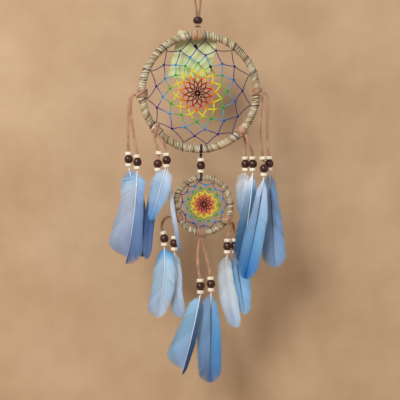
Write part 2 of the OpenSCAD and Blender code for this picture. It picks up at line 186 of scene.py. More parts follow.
class Nodes:
    """A material's node tree, with short calls for the nodes used here."""

    def __init__(self, name, **fixed):
        self.material = bpy.data.materials.new(name)
        self.material.use_nodes = True
        self.tree = self.material.node_tree
        self.shader = self.tree.nodes["Principled BSDF"]
        for socket, value in fixed.items():
            self.shader.inputs[socket.replace("_", " ")].default_value = value

    def node(self, kind, inputs=(), **settings):
        made = self.tree.nodes.new(kind)
        for key, value in settings.items():
            setattr(made, key, value)
        for socket, value in dict(inputs).items():
            if isinstance(value, bpy.types.NodeSocket):
                self.tree.links.new(value, made.inputs[socket])
            else:
                made.inputs[socket].default_value = value
        return made

    def attribute(self, name):
        return self.node("ShaderNodeAttribute", attribute_name=name)

    def place(self, stretch, source="Object"):
        """Object coordinates, or an attribute's, scaled by a factor along each axis."""
        if source == "Object":
            vector = self.node("ShaderNodeTexCoord").outputs["Object"]
        else:
            vector = self.attribute(source).outputs["Vector"]
        return self.node("ShaderNodeMapping", {"Vector": vector, "Scale": stretch}).outputs[0]

    def noise(self, vector, scale=1.0, detail=3.0, rough=0.55):
        made = self.node("ShaderNodeTexNoise", {"Vector": vector, "Scale": scale,
                                                "Detail": detail, "Roughness": rough})
        return made.outputs["Fac"]

    def ramp(self, value, stops):
        made = self.node("ShaderNodeValToRGB", {"Fac": value})
        ends = made.color_ramp.elements
        while len(ends) < len(stops):
            ends.new(0.5)
        for end, (where, colour) in zip(ends, stops):
            end.position = where
            end.color = (*colour, 1)
        return made.outputs["Color"]

    def mix(self, blend, share, a, b):
        made = self.node("ShaderNodeMix", data_type="RGBA", blend_type=blend)
        for socket, value in ((0, share), (6, a), (7, b)):
            if isinstance(value, bpy.types.NodeSocket):
                self.tree.links.new(value, made.inputs[socket])
            else:
                made.inputs[socket].default_value = value if socket == 0 else (*value, 1)
        return made.outputs[2]

    def colour(self, socket):
        self.tree.links.new(socket, self.shader.inputs["Base Color"])

    def rough(self, value, low, high):
        made = self.node("ShaderNodeMapRange", {"Value": value, "To Min": low, "To Max": high})
        self.tree.links.new(made.outputs[0], self.shader.inputs["Roughness"])

    def bump(self, height, strength, distance):
        made = self.node("ShaderNodeBump", {"Height": height, "Strength": strength,
                                            "Distance": distance})
        self.tree.links.new(made.outputs[0], self.shader.inputs["Normal"])


def suede_material():
    n = Nodes("suede", Roughness=0.95, Specular_IOR_Level=0.2, Sheen_Weight=0.35,
              Sheen_Roughness=0.6)
    nap = n.noise(n.place((1, 1, 1)), 900, 4, 0.7)
    patch = n.noise(n.place((1, 1, 1)), 90, 2)
    tan = n.ramp(patch, [(0.3, srgb(156, 112, 84)), (0.7, srgb(208, 164, 130))])
    n.colour(n.mix("MULTIPLY", 0.5, tan, n.ramp(nap, [(0.3, (0.5, 0.46, 0.43)), (0.7, (1, 1, 1))])))
    n.bump(nap, 0.5, 0.0004)
    return n.material


def raffia_material():
    n = Nodes("raffia", Roughness=0.8, Specular_IOR_Level=0.3)
    fibre = n.noise(n.place((2.6, 0.16, 1), "grain"), 1.0, 4, 0.6)
    lines = n.ramp(fibre, [(0.36, (0.3, 0.23, 0.15)), (0.52, (0.92, 0.88, 0.8)), (0.7, (1, 1, 1))])
    n.colour(n.mix("MULTIPLY", 0.9, n.attribute("dye").outputs["Color"], lines))
    n.bump(fibre, 0.7, 0.0005)
    return n.material


# Painted shade: a near-black brown that shows in the gaps between the raffia turns as their shade.
def gap_shade_material():
    n = Nodes("painted_gap_shade", Roughness=0.95)
    fibre = n.noise(n.place((1, 1, 1)), 500, 4)
    n.colour(n.ramp(fibre, [(0.3, srgb(40, 25, 14)), (0.75, srgb(84, 58, 34))]))
    n.bump(fibre, 0.6, 0.0005)
    return n.material


def cane_material():
    n = Nodes("cane", Roughness=0.6)
    grain = n.noise(n.place((1, 1, 1)), 300, 4)
    n.colour(n.ramp(grain, [(0.3, srgb(140, 96, 56)), (0.7, srgb(196, 152, 100))]))
    return n.material


def thread_material():
    n = Nodes("waxed_thread", Roughness=0.6, Specular_IOR_Level=0.25)
    ply = n.node("ShaderNodeTexWave", {"Vector": n.place((0.35, 1.1, 1), "grain"), "Scale": 1.0,
                                       "Distortion": 0.6}, wave_type="BANDS", bands_direction="DIAGONAL")
    shade = n.ramp(ply.outputs["Fac"], [(0.0, (0.6, 0.6, 0.6)), (0.6, (1, 1, 1))])
    n.colour(n.mix("MULTIPLY", 0.5, n.attribute("dye").outputs["Color"], shade))
    n.bump(ply.outputs["Fac"], 0.5, 0.0003)
    return n.material


def dark_wood_material():
    n = Nodes("dark_wood", Roughness=0.3, Coat_Weight=0.14, Coat_Roughness=0.25)
    grain = n.noise(n.place((1, 1, 0.22)), 700, 5, 0.6)
    cloud = n.noise(n.place((1, 1, 1)), 120, 2)
    wood = n.ramp(grain, [(0.36, srgb(30, 12, 5)), (0.55, srgb(70, 29, 14)), (0.74, srgb(150, 74, 36))])
    n.colour(n.mix("MULTIPLY", 0.6, wood, n.ramp(cloud, [(0.3, (0.35, 0.3, 0.3)), (0.7, (1, 1, 1))])))
    n.rough(grain, 0.24, 0.45)
    n.bump(grain, 0.3, 0.0003)
    return n.material


def pale_wood_material():
    n = Nodes("pale_wood", Roughness=0.5)
    grain = n.noise(n.place((1, 1, 0.3)), 600, 5, 0.6)
    n.colour(n.ramp(grain, [(0.28, srgb(206, 182, 146)), (0.5, srgb(244, 232, 208)),
                            (0.75, srgb(253, 247, 235))]))
    n.rough(grain, 0.42, 0.62)
    n.bump(grain, 0.25, 0.0003)
    return n.material


def card_material():
    n = Nodes("card", Roughness=0.85, Specular_IOR_Level=0.25)
    fibre = n.noise(n.place((1, 1, 1)), 700, 5, 0.7)
    stain = n.noise(n.place((1, 1, 1)), 45, 2)
    card = n.ramp(stain, [(0.3, srgb(198, 206, 148)), (0.7, srgb(216, 222, 170))])
    n.colour(n.mix("MULTIPLY", 0.35, card, n.ramp(fibre, [(0.3, (0.66, 0.64, 0.5)), (0.6, (1, 1, 1))])))
    n.bump(fibre, 0.25, 0.0002)
    return n.material


def feather_material():
    n = Nodes("feather_barbs", Roughness=0.55, Specular_IOR_Level=0.35, Sheen_Weight=0.25,
              Sheen_Roughness=0.4)
    barbule = n.noise(n.place((3.0, 0.12, 1), "grain"), 1.0, 3, 0.6)
    mottle = n.noise(n.place((1, 1, 0.35)), 130, 3)
    dye = n.attribute("dye").outputs["Color"]
    streaked = n.mix("MULTIPLY", 0.42, dye, n.ramp(barbule, [(0.3, (0.66, 0.71, 0.78)), (0.62, (1, 1, 1))]))
    n.colour(n.mix("MULTIPLY", 0.3, streaked, n.ramp(mottle, [(0.32, (0.68, 0.76, 0.86)), (0.6, (1, 1, 1))])))
    n.bump(barbule, 0.35, 0.0003)
    return n.material


def quill_material():
    n = Nodes("quill", Roughness=0.35, Subsurface_Weight=0.1, Coat_Weight=0.15)
    streak = n.noise(n.place((1, 1, 0.1)), 900, 3)
    n.colour(n.mix("MULTIPLY", 0.4, n.attribute("dye").outputs["Color"],
                   n.ramp(streak, [(0.3, (0.75, 0.76, 0.8)), (0.65, (1, 1, 1))])))
    return n.material


def wall_material():
    """Plain warm plaster, clear from behind so that it hides nothing of the object."""
    n = Nodes("wall", Roughness=0.95, Specular_IOR_Level=0.1)
    cloud = n.noise(n.place((1, 1, 1)), 9, 5, 0.6)
    n.colour(n.ramp(cloud, [(0.3, srgb(186, 154, 121)), (0.7, srgb(205, 175, 142))]))
    clear = n.node("ShaderNodeBsdfTransparent")
    behind = n.node("ShaderNodeNewGeometry").outputs["Backfacing"]
    both = n.node("ShaderNodeMixShader", {0: behind, 1: n.shader.outputs[0], 2: clear.outputs[0]})
    n.tree.links.new(both.outputs[0], n.tree.nodes["Material Output"].inputs["Surface"])
    return n.material


SUEDE = suede_material()
RAFFIA = raffia_material()
GAP_SHADE = gap_shade_material()
CANE = cane_material()
THREAD = thread_material()
DARK_WOOD = dark_wood_material()
PALE_WOOD = pale_wood_material()
CARD = card_material()
BARBS = feather_material()
QUILL = quill_material()

# ---- mesh building ----


def unit(v):
    v = np.asarray(v, float)
    return v / np.maximum(np.linalg.norm(v, axis=-1, keepdims=True), 1e-9)


def ease(t):
    t = min(max(t, 0.0), 1.0)
    return t * t * (3 - 2 * t)


def bezier(points, count):
    """Points along the Bezier curve over all the given points."""
    points = np.asarray(points, float)
    line = []
    for t in np.linspace(0, 1, count):
        p = points
        while len(p) > 1:
            p = p[:-1] * (1 - t) + p[1:] * t
        line.append(p[0])
    return np.array(line)


def smooth_line(points, count):
    """Points along a curve that passes through the given points."""
    p = np.asarray(points, float)
    p = np.vstack([2 * p[0] - p[1], p, 2 * p[-1] - p[-2]])
    line = []
    for s in np.linspace(0, len(p) - 3, count):
        i = min(int(s), len(p) - 4)
        t = s - i
        a, b, c, d = p[i:i + 4]
        line.append(0.5 * (2 * b + (c - a) * t + (2 * a - 5 * b + 4 * c - d) * t * t
                           + (3 * b - a - 3 * c + d) * t ** 3))
    return np.array(line)


def tangents(line, closed=False):
    if closed:
        return unit(np.roll(line, -1, 0) - np.roll(line, 1, 0))
    return unit(np.gradient(line, axis=0))


class Shape:
    """Vertices, faces and per-vertex values of one mesh in the making."""

    def __init__(self):
        self.verts, self.faces, self.dye, self.grain = [], [], [], []
        self.count = 0

    def add(self, verts, faces, dye=(1, 1, 1), grain=None):
        verts = np.asarray(verts, float).reshape(-1, 3)
        dye = np.broadcast_to(np.asarray(dye, float), verts.shape)
        self.verts.append(verts)
        self.dye.append(dye)
        self.grain.append(np.zeros(verts.shape) if grain is None else np.asarray(grain, float))
        self.faces += [tuple(i + self.count for i in face) for face in faces]
        self.count += len(verts)

    def sweep(self, line, across, profile, dye=(1, 1, 1), closed=False, seed=0.0):
        """Carries a closed outline along a line. profile is (n, 2), or (rings, n, 2): how far each
        of its points lies along across and along the normal. dye is one colour or one a ring."""
        line = np.asarray(line, float)
        rings = len(line)
        way = tangents(line, closed)
        across = np.broadcast_to(np.asarray(across, float), line.shape)
        across = unit(across - way * np.sum(across * way, 1, keepdims=True))
        normal = np.cross(way, across)
        profile = np.asarray(profile, float)
        if profile.ndim == 2:
            profile = np.broadcast_to(profile, (rings, *profile.shape))
        n = profile.shape[1]
        verts = (line[:, None] + profile[..., :1] * across[:, None]
                 + profile[..., 1:] * normal[:, None])
        steps = np.linalg.norm(np.diff(line, axis=0), axis=1)
        along = np.concatenate([[0], np.cumsum(steps)])
        grain = np.stack([profile[..., 0] + seed * 7, np.repeat(along[:, None], n, 1),
                          np.full((rings, n), seed)], -1).reshape(-1, 3)
        dye = np.broadcast_to(np.asarray(dye, float), (rings, 3)) if np.ndim(dye) == 1 else dye
        dye = np.repeat(np.asarray(dye, float)[:, None], n, 1).reshape(-1, 3)
        faces = []
        for i in range(rings if closed else rings - 1):
            k = (i + 1) % rings
            faces += [(i * n + j, i * n + (j + 1) % n, k * n + (j + 1) % n, k * n + j)
                      for j in range(n)]
        if not closed:
            faces += [tuple(range(n))[::-1], tuple((rings - 1) * n + j for j in range(n))]
        self.add(verts, faces, dye, grain)

    def tube(self, line, radius, dye=(1, 1, 1), sides=8, closed=False, across=(0.3, 1, 0.2), seed=0.0):
        """A round tube. radius is one number or one a point."""
        turn = np.linspace(0, 2 * math.pi, sides, endpoint=False)
        circle = np.stack([np.cos(turn), np.sin(turn)], 1)
        radius = np.broadcast_to(np.asarray(radius, float), (len(line),))
        self.sweep(line, across, radius[:, None, None] * circle, dye, closed, seed)

    def lathe(self, outline, sides=32, at=(0, 0, 0), lean=0.0, dye=(1, 1, 1)):
        """Turns a closed outline of (radius, height) about an upright axis that leans towards +X."""
        n = len(outline)
        c, s = math.cos(math.radians(lean)), math.sin(math.radians(lean))
        verts = []
        for a in np.linspace(0, 2 * math.pi, sides, endpoint=False):
            for r, h in outline:
                x, y = r * math.cos(a), r * math.sin(a)
                verts.append((at[0] + x * c + h * s, at[1] + y, at[2] + h * c - x * s))
        faces = [(i * n + j, ((i + 1) % sides) * n + j, ((i + 1) % sides) * n + (j + 1) % n, i * n + (j + 1) % n)
                 for i in range(sides) for j in range(n)]
        self.add(verts, faces, dye)

    def make(self, name, material, body, nodes=(), smooth=True):
        mesh = bpy.data.meshes.new(name)
        mesh.from_pydata((np.vstack(self.verts) * MM).tolist(), [], self.faces)
        mesh.materials.append(material)
        if smooth:
            mesh.shade_smooth()
        dye = np.hstack([np.vstack(self.dye), np.ones((self.count, 1))]).astype(np.float32)
        mesh.attributes.new("dye", "FLOAT_COLOR", "POINT").data.foreach_set("color", dye.ravel())
        grain = np.vstack(self.grain).astype(np.float32)
        mesh.attributes.new("grain", "FLOAT_VECTOR", "POINT").data.foreach_set("vector", grain.ravel())
        made = bpy.data.objects.new(name, mesh)
        bpy.context.scene.collection.objects.link(made)
        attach(made, body)
        if nodes:
            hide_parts(*nodes)
        return made


def flat_profile(width, thick):
    """A strip's section: a rectangle with its corners rounded off."""
    w, t = width / 2, thick / 2
    c = min(w, t) * 0.45
    return np.array([(-w, -t + c), (-w + c, -t), (w - c, -t), (w, -t + c),
                     (w, t - c), (w - c, t), (-w + c, t), (-w, t - c)])


def radial(angle):
    a = math.radians(angle)
    return np.array([math.cos(a), 0, math.sin(a)])


def round_hoop(at, ring, tube, angle, phi):
    """A point on a tube that runs round a hoop. phi is 0 on the outside and 90 behind."""
    p = math.radians(phi)
    return at + (ring + tube * math.cos(p)) * radial(angle) + np.array([0, tube * math.sin(p), 0])


# ---- hoops ----


def wound_hoop(label, at, ring, tube, pitch, seed):
    """The raffia wound round the hoop, one long strip, over a near-black layer that is painted shade: it shows in the
    gaps between the turns.
    """
    rng = random.Random(seed)
    thick = 0.16 * tube
    turns = round(2 * math.pi * ring / pitch)
    steps = 14
    widths = [pitch * rng.uniform(0.48, 0.98) for _ in range(turns + 1)]
    slants = [0.28 * tube + 0.16 * tube * math.sin(i * 0.23) + rng.uniform(-0.12, 0.12) * tube
              for i in range(turns + 1)]
    lifts = [rng.uniform(-0.35, 0.2) * thick for _ in range(turns + 1)]
    tones = [rng.random() for _ in range(turns + 1)]
    light, dark = srgb(255, 249, 224), srgb(176, 146, 98)
    line, across, profiles, dye = [], [], [], []
    for k in range(turns * steps):
        i, share = divmod(k, steps)
        share /= steps
        phi = 360 * share
        between = [(1 - share) * v[i] + share * v[i + 1] for v in (widths, slants, lifts, tones)]
        width, slant, lift, tone = between
        shift = slant * math.cos(math.radians(phi)) + rng.uniform(-0.04, 0.04) * pitch
        angle = 360 * (i + share) / turns + math.degrees(shift / ring)
        line.append(round_hoop(at, ring, tube - thick + lift, angle, phi))
        across.append(radial(angle + 90))
        w = width / 2
        profiles.append([(-w, -0.3 * thick), (w, -0.3 * thick), (0.8 * w, 0.55 * thick),
                         (0.3 * w, thick), (-0.3 * w, 0.9 * thick), (-0.8 * w, 0.45 * thick)])
        dye.append(light * tone + dark * (1 - tone))
    wound = Shape()
    profiles = np.array(profiles)
    profiles[..., 1] *= -1
    wound.sweep(line, np.array(across), profiles, np.array(dye), closed=True)
    for _ in range(round(turns / 3)):
        overlay(wound, rng, at, ring, tube, light * rng.uniform(0.55, 1.0))
    for _ in range(round(turns / 14)):
        loose_end(wound, rng, at, ring, tube)
    wound.make(f"{label}_raffia", RAFFIA, label, [f"{label}_wrap"])
    # Painted shade: a near-black layer just under the raffia, seen in the gaps between its turns.
    shade_lining = Shape()
    circle = [at + ring * radial(a) for a in np.linspace(0, 360, 96, endpoint=False)]
    shade_lining.tube(circle, tube - thick - 0.15, sides=16, closed=True, across=(0, 1, 0))
    shade_lining.make(f"{label}_lining", GAP_SHADE, label)


def overlay(wound, rng, at, ring, tube, dye):
    """A strand of raffia that lies slantwise over the turns on the hoop's front."""
    start = rng.uniform(0, 360)
    slant = rng.uniform(0.5, 1.3) * tube
    line = [round_hoop(at, ring, tube + 0.05 - 1.2 * abs(t - 0.5) ** 2, start + math.degrees(slant * t / ring),
                       170 + 210 * t) for t in np.linspace(0, 1, 12)]
    widths = 1.1 * np.sin(np.linspace(0.25, math.pi - 0.25, 12))
    wound.sweep(line, radial(start + 90), [flat_profile(w, 0.3) for w in widths], dye, seed=rng.random())


def loose_end(wound, rng, at, ring, tube):
    """A frayed end of raffia that curls off the hoop."""
    angle, phi = rng.uniform(0, 360), rng.choice([200, 235, 300, 330])
    length = rng.uniform(0.5, 1.2) * tube
    start = round_hoop(at, ring, tube, angle, phi)
    out = unit(start - (at + ring * radial(angle)))
    way = unit(radial(angle + 90) * rng.choice([-1, 1]) + 0.5 * out)
    line = [start + way * length * t + out * length * 0.25 * t * t for t in np.linspace(0, 1, 7)]
    widths = np.linspace(0.9, 0.15, 7)
    wound.sweep(line, np.cross(way, out), [flat_profile(w, 0.25) for w in widths],
                srgb(240, 228, 200), seed=rng.random())


# ---- webs ----

RAINBOW = [(0.0, srgb(40, 2, 8)), (0.08, srgb(104, 4, 16)), (0.2, srgb(158, 6, 12)),
           (0.25, srgb(206, 26, 2)), (0.29, srgb(255, 112, 0)), (0.33, srgb(255, 150, 0)),
           (0.36, srgb(255, 234, 0)), (0.45, srgb(248, 238, 0)), (0.49, srgb(70, 196, 20)),
           (0.57, srgb(16, 176, 84)), (0.61, srgb(24, 186, 224)), (0.7, srgb(8, 140, 220)),
           (0.75, srgb(14, 32, 158)), (0.86, srgb(30, 14, 124)), (0.92, srgb(62, 16, 108)),
           (1.0, srgb(50, 16, 84))]


def rainbow(share):
    """The thread's dye by its distance from the eye, as a share of the way to the hoop."""
    for (a, ca), (b, cb) in zip(RAINBOW, RAINBOW[1:]):
        if share <= b:
            t = (share - a) / (b - a)
            return ca * (1 - t) + cb * t
    return RAINBOW[-1][1]


def web_knots(at, ring, tube, hitches, rounds, eye, seed):
    """The web's crossings, round by round from the hoop inwards."""
    rng = random.Random(seed)
    angles = list(hitches)
    rows = [[at + (ring - tube - 0.5) * radial(a) for a in angles]]
    for k, radius in enumerate(rounds):
        angles = [(a + b) / 2 for a, b in zip(angles, angles[1:] + [angles[0] + 360])]
        drift = eye * (k + 1) / len(rounds)
        jitter = 0.03 * radius
        rows.append([at + drift + (radius + rng.uniform(-1, 1) * jitter)
                     * radial(a + rng.uniform(-1.6, 1.6)) for a in angles])
    return rows


def web(label, at, ring, tube, hitches, rounds, eye, thread_r, spread, seed):
    rows = web_knots(at, ring, tube, hitches, rounds, eye, seed)
    centre = at + eye
    reach = (ring - tube) * spread
    shape = Shape()
    count = len(hitches)
    for k in range(1, len(rows)):
        line = []
        for i in range(count):
            nearer = rows[k][i]
            for start, end in ((rows[k - 1][i], nearer), (nearer, rows[k - 1][(i + 1) % count])):
                for t in np.linspace(0, 1, 6, endpoint=False):
                    sag = (centre - start) * 0.012 * math.sin(math.pi * t)
                    height = 0.8 * thread_r * math.cos(math.pi * t) * (1 if start is nearer else -1)
                    line.append(start * (1 - t) + end * t + sag + np.array([0, height, 0]))
        line = np.array(line)
        share = np.linalg.norm(line - centre, axis=1) / reach
        radii = thread_r * np.interp(share, [0, 0.12, 0.2, 0.42, 0.5, 1], [0.9, 1.2, 1.4, 1.4, 1.0, 0.95])
        shape.tube(line, radii, np.array([rainbow(s) for s in share]), 7, True, seed=k)
        for knot in rows[k]:
            # Painted shade: each knot takes the thread's colour darkened to three quarters.
            dye = rainbow(np.linalg.norm(knot - centre) / reach) * 0.75
            tied(shape, knot, (2.9 if k < 6 else 2.0) * thread_r, dye)
    for angle in hitches:
        hitch(shape, at, ring, tube, angle)
    if label == "big_hoop":
        cut_ends(shape, min((knot for row in rows for knot in row),
                            key=lambda knot: np.linalg.norm(knot - THREAD_END)))
    shape.make(f"{label}_thread", THREAD, label, WEB_NODES[label])


THREAD_END = np.array([18.3, 0, -128])
WEB_NODES = {"big_hoop": ("big_web", "big_web_hitches"), "small_hoop": ("small_web", "small_web_hitches")}


def tied(shape, at, radius, dye):
    """A small overhand knot, a lumpy turn of thread."""
    line = [at + np.array([math.cos(a) * radius * 0.5, math.sin(2 * a) * radius * 0.35,
                           math.sin(a) * radius * 0.5]) for a in np.linspace(0, 2 * math.pi, 8, endpoint=False)]
    shape.tube(line, radius * 0.5, dye, 6, True)


def cut_ends(shape, at):
    """The knot where the thread was joined, with its two short ends."""
    ink = srgb(18, 14, 40)
    tied(shape, at - (0, 0.6, 0), 1.9, ink)
    for side in (-1, 1):
        line = smooth_line([at - (0, 0.6, 0), at + (1.5 + side, -1.2, -3.5), at + (3 + 2 * side, -0.9, -7.5 - side)], 9)
        shape.tube(line, np.linspace(0.45, 0.3, 9), ink, 6)


def hitch(shape, at, ring, tube, angle):
    """A turn of the thread round the hoop."""
    line = [round_hoop(at, ring, tube + 0.25, angle + math.degrees(0.3 * tube * math.cos(math.radians(phi)) / ring),
                       phi) for phi in range(0, 360, 20)]
    shape.tube(line, 0.42, rainbow(1.0), 6, True, seed=angle)


# ---- suede ----


def rolled(line, start, end):
    """Directions across a flat lace that twists from one angle to another about its length."""
    turn = np.radians(np.linspace(start, end, len(line)))
    return np.stack([np.cos(turn), np.sin(turn), np.zeros(len(line))], 1)


def lace(name, line, width, body, node, start, end):
    """A flat suede lace on a route."""
    shape = Shape()
    shape.sweep(line, rolled(line, start, end), flat_profile(width, LACE_T))
    made = shape.make(name, SUEDE, body, [node])
    return made


def wrapped_knot(shape, at, ring, tube, angle, rng):
    """Flat lace tied round a hoop: three turns side by side and one across them."""
    lift = 0.75
    for offset in (-3.1, 0.1, 3.2):
        slant = rng.uniform(-0.8, 0.8)
        line = []
        for phi in range(0, 360, 18):
            shift = offset + slant * math.cos(math.radians(phi))
            line.append(round_hoop(at, ring, tube + lift + rng.uniform(-0.1, 0.15),
                                   angle + math.degrees(shift / ring), phi))
        shape.sweep(line, radial(angle + 90), flat_profile(3.3, 1.2), closed=True, seed=rng.random())
    cross = [round_hoop(at, ring, tube + 1.9, angle + math.degrees(shift / ring), phi)
             for shift, phi in ((-4.4, 200), (-3.4, 235), (-1.2, 270), (1.4, 305), (3.2, 335), (4.2, 362))]
    line = smooth_line(cross, 16)
    shape.sweep(line, radial(angle + 60), flat_profile(3.0, 1.0), seed=rng.random())


def lace_knots(label, at, ring, tube, angles, seed):
    rng = random.Random(seed)
    shape = Shape()
    for angle in angles:
        wrapped_knot(shape, at, ring, tube, angle, rng)
    node = "big_lace_knots" if label == "big_hoop" else "small_lace_knots"
    shape.make(f"{label}_suede_knots", SUEDE, label, [node])


def hanging_knot():
    """The lark's head: two widening bands of suede over the hoop, drawn in at the neck."""
    shape = Shape()
    top = BIG_AT[2] + BIG_RING
    for side in (-1, 1):
        route = [(1.1, -1.6, NECK_TOP + 0.4), (1.5, -3.0, top + BIG_TUBE + 1.2), (2.8, -5.6, top + 3.4),
                 (3.4, -6.2, top), (3.4, -4.6, top - 4.4), (3.2, 0, top - 6.3), (3.2, 4.6, top - 4.4),
                 (3.2, 6.2, top), (2.8, 5.0, top + 4.0), (1.6, 2.6, top + BIG_TUBE + 1.4), (1.1, 1.4, NECK_TOP + 0.4)]
        line = smooth_line([(side * x, y, z) for x, y, z in route], 44)
        widths = np.interp(np.linspace(0, 1, 44), [0, 0.12, 0.3, 0.7, 0.9, 1], [2.2, 3.4, 6.6, 6.6, 3.4, 2.2])
        shape.sweep(line, (1, 0, 0), [flat_profile(w, 1.3) for w in widths], seed=side)
    bar = smooth_line([(-5.6, 6.9, top + 3.2), (0, 7.5, top + 4.2), (5.6, 6.9, top + 3.2)], 14)
    shape.sweep(bar, (0, 0.3, 1), flat_profile(3.2, 1.2))
    shape.make("hanging_knot_bands", SUEDE, "big_hoop", ["hanging_knot"])


def hanging_loop():
    """The doubled lace that goes up one side of the nail and down the other."""
    rise = bezier(LOOP_RISE, 26)
    over = np.array([(NAIL_R + 1) * radial(a) - np.array([0, 0, NAIL_R]) for a in range(150, 29, -15)])
    fall = rise[::-1] * np.array([-1, 1, 1])
    line = np.vstack([rise, over, fall])
    lace("hanging_lace", line, 3.4, "hanger", "hanging_loop", 62, 28)


# ---- beads ----


def wobble(outline, rng):
    return [(r + rng.uniform(-0.04, 0.04), h + rng.uniform(-0.03, 0.03)) for r, h in outline]


def bead_outline(radius, half, bore):
    """A round bead's outline, flattened to a half height, with the edge of its hole eased."""
    dip = math.asin(min(1.0, (bore + 0.35) / radius))
    curve = [(radius * math.sin(a), half / math.cos(dip) * math.cos(a) * 0.995)
             for a in np.linspace(dip, math.pi - dip, 16)]
    return [(bore, curve[0][1] - 0.5), *curve, (bore, curve[-1][1] + 0.5)]


def spacer_outline():
    r, h, e = SPACER_R, SPACER_H / 2, 0.8
    edge = [(r - e * (1 - math.sin(a)), h - e * (1 - math.cos(a))) for a in np.linspace(0, math.pi / 2, 6)]
    return [(BORE_R, h - 0.25), (BORE_R + 0.25, h), *edge,
            *[(x, -z) for x, z in reversed(edge)], (BORE_R + 0.25, -h), (BORE_R, -h + 0.25)]


def bead(name, body, at, node=None, radius=BEAD_R, half=5.0, bore=BORE_R, seed=1):
    shape = Shape()
    shape.lathe(wobble(bead_outline(radius, half, bore), random.Random(seed)), 36, at)
    return shape.make(name, DARK_WOOD, body, [node] if node else ())


def spacers(name, body, places, node=None, seed=1):
    shape = Shape()
    rng = random.Random(seed)
    for at, lean in places:
        shape.lathe(wobble(spacer_outline(), rng), 32, at, lean)
    return shape.make(name, PALE_WOOD, body, [node] if node else ())


# ---- feathers ----


def outline(u, vane_widths):
    """How wide a vane is at a share u of the shaft: nothing at the quill, rounded at its end."""
    *widths, end = vane_widths
    s = (u - BARE) / (1 - BARE) / end
    return np.interp(s, VANE_PLACES, (0, *widths)) * np.sqrt(1 - np.clip((s - 0.85) / 0.15, 0, 1) ** 2)


def shaft(top, plane, length, start, end, count):
    """The line of a feather's shaft below its spacer."""
    first, last = (np.array([math.sin(math.radians(a)), 0, -math.cos(math.radians(a))]) * length / 2
                   for a in (start, end))
    shares = np.linspace(0, 1, count)
    line = np.array([(1 - t) ** 2 * top + 2 * t * (1 - t) * (top + first) + t * t * (top + first + last)
                     + np.array([0, (plane - top[1]) * ease(t / 0.2), 0]) for t in shares])
    return shares, line


def blend(colours, along):
    """The colour at a place from 0 to 1 along four colours that are spread over it."""
    return np.array([np.interp(along, [0.06, 0.2, 0.55, 0.97], [c[i] for c in colours]) for i in range(3)])


def feather(name, body, bead_at, spec, nodes, seed):
    shift, plane, length, start, end, left, right, look = spec
    *plain, right_dyes, shaft_dye = LOOKS[look]
    left_dyes = [srgb(*c) for c in plain]
    right_dyes = [srgb(*c) for c in right_dyes or plain]
    rng = random.Random(seed)
    top = bead_at + (shift, 0, -BEAD_SEAT - SPACER_H - 0.05)
    shares, line = shaft(top, plane, length, start, end, 60)
    vanes = Shape()
    vane(vanes, rng, shares, line, -1, left, length, left_dyes)
    vane(vanes, rng, shares, line, 1, right, length, right_dyes)
    vanes.make(name, BARBS, body, nodes)
    quill = Shape()
    cut = int(0.96 * len(line))
    radius = np.interp(shares[:cut], [0, 0.1, 0.5, 1], [0.85, 0.75, 0.45, 0.12])
    quill_line = line[:cut] + (0, -0.25, 0)
    inside = quill_line[0] + np.array([(0, 0, SPACER_H + 1), (0, 0, 1)])
    colours = np.array([blend([IVORY, shaft_dye, shaft_dye, shaft_dye * 0.5 + left_dyes[3] * 0.5], s) for s in shares[:cut]])
    quill.tube(np.vstack([inside, quill_line]), np.concatenate([[0.8, 0.85], radius]),
               np.vstack([[IVORY] * 2, colours]), 8)
    quill.make(f"{name}_quill", QUILL, body, ())


def barb_length(u, angle, widths, length):
    """How far a barb from share u of the shaft runs before it meets the vane's outline."""
    reach = np.linspace(0.3, 1.7 * max(widths) + 6, 90)
    ends = u + reach * (math.cos(angle) + 0.12) / length
    past = np.nonzero(reach * math.sin(angle) >= outline(ends, widths))[0]
    return reach[past[0]] if len(past) else reach[-1]


